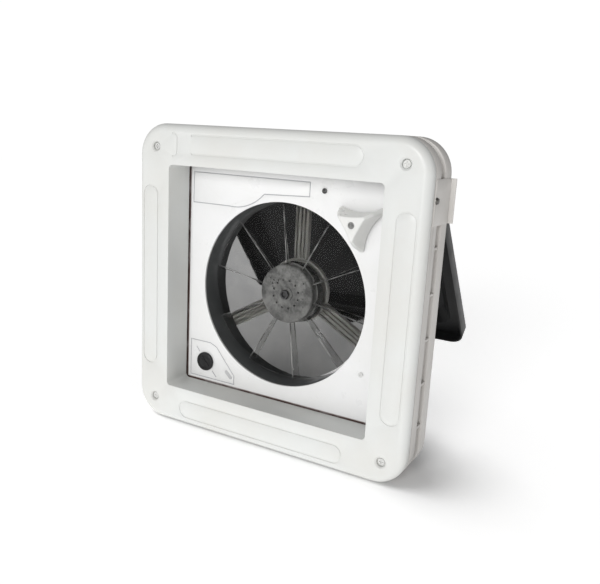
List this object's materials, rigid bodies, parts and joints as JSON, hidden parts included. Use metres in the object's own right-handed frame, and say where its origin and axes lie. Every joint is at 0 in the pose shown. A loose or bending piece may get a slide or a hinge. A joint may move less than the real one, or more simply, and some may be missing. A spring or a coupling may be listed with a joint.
{
  "type": "roof vent fan",
  "caption": "Square roof exhaust fan with a trim ring, a ducted fan wheel on a motor, a three-lobed crank, a speed knob and a hinged lid raised on a lift arm.",
  "frame": {"origin": "centre of the roof opening, in the plane of the roof skin, which is the back face of the flange", "axes": "+Y from the cabin out through the roof along the fan's air path, +Z towards the hinged edge of the lid, +X to the right as seen from the cabin"},
  "size_m": [0.459, 0.3522, 0.445],
  "materials": {
    "trim_plastic": "satin",
    "frame_plastic": "satin",
    "plate_paint": "satin",
    "knob_white": "satin",
    "black_plastic": "satin",
    "smoke_plastic": "gloss",
    "grey_plastic": "matte",
    "lid_plastic": "satin",
    "steel": "zinc plated",
    "dark_steel": "dark zinc",
    "motor_steel": "satin",
    "seal_rubber": "matte",
    "brass": "plain",
    "nylon": "matte",
    "ferrite": "matte",
    "switch_black": "matte"
  },
  "bodies": {
    "frame": {"trim_ring": "trim_plastic", "trim_screws": "steel", "roof_frame": "frame_plastic", "frame_neck": "frame_plastic", "corner_tubes": "frame_plastic", "frame_ribs": "frame_plastic", "curb_seal": "seal_rubber", "fan_plate": "plate_paint", "plate_screws": "steel", "fan_shroud": "black_plastic", "motor_spider": "grey_plastic", "spider_screws": "steel", "motor_can": "motor_steel", "motor_screws": "steel", "motor_end_cap": "motor_steel", "motor_magnets": "ferrite", "motor_bearings": "brass", "crank_bush": "knob_white", "gearbox_housing": "black_plastic", "gearbox_cover": "black_plastic", "gearbox_screws": "steel", "hinge_post_left": "frame_plastic", "hinge_post_right": "frame_plastic", "post_screws": "steel", "hinge_pins": "steel", "side_bracket_left": "frame_plastic", "side_bracket_right": "frame_plastic", "bracket_screws": "dark_steel", "speed_switch": "switch_black", "switch_nut": "steel", "fuse_holder": "plate_paint"},
    "fan": {"fan_wheel": "smoke_plastic", "hub_insert": "dark_steel", "fan_nut": "dark_steel", "motor_shaft": "steel", "motor_rotor": "dark_steel"},
    "lid": {"lid": "lid_plastic", "lift_track": "steel", "track_screws": "steel"},
    "lift_arm": {"lift_arm": "steel", "arm_shaft": "steel", "worm_wheel": "nylon", "slide_button": "nylon"},
    "crank": {"crank_knob": "knob_white", "crank_screw": "dark_steel", "crank_shaft": "steel", "crank_worm": "nylon"},
    "speed": {"speed_knob": "black_plastic", "switch_spindle": "steel"}
  },
  "joints": [
    {"name": "fan_spin", "type": "hinge", "parent": "frame", "child": "fan", "pos_m": [-0.002, 0.06, -0.009], "axis": [0, 1, 0], "continuous": true},
    {"name": "lid_hinge", "type": "hinge", "parent": "frame", "child": "lid", "pos_m": [0, 0.083, 0.2], "axis": [1, 0, 0], "range_deg": [-39.2, 10.8]},
    {"name": "lift_arm_pivot", "type": "hinge", "parent": "frame", "child": "lift_arm", "pos_m": [0.14, 0.054, 0.0885], "axis": [1, 0, 0], "range_deg": [-78.4, 21.6]},
    {"name": "crank_turn", "type": "hinge", "parent": "frame", "child": "crank", "pos_m": [0.118, 0.03, 0.1085], "axis": [0, 1, 0], "range_deg": [-784, 216]},
    {"name": "speed_turn", "type": "hinge", "parent": "frame", "child": "speed", "pos_m": [-0.1302, 0.03, -0.1338], "axis": [0, 1, 0], "range_deg": [0, 135]}
  ],
  "couplings": [
    {"joint": "lift_arm_pivot", "follows": "lid_hinge", "ratio": 2},
    {"joint": "crank_turn", "follows": "lid_hinge", "ratio": 20}
  ]
}
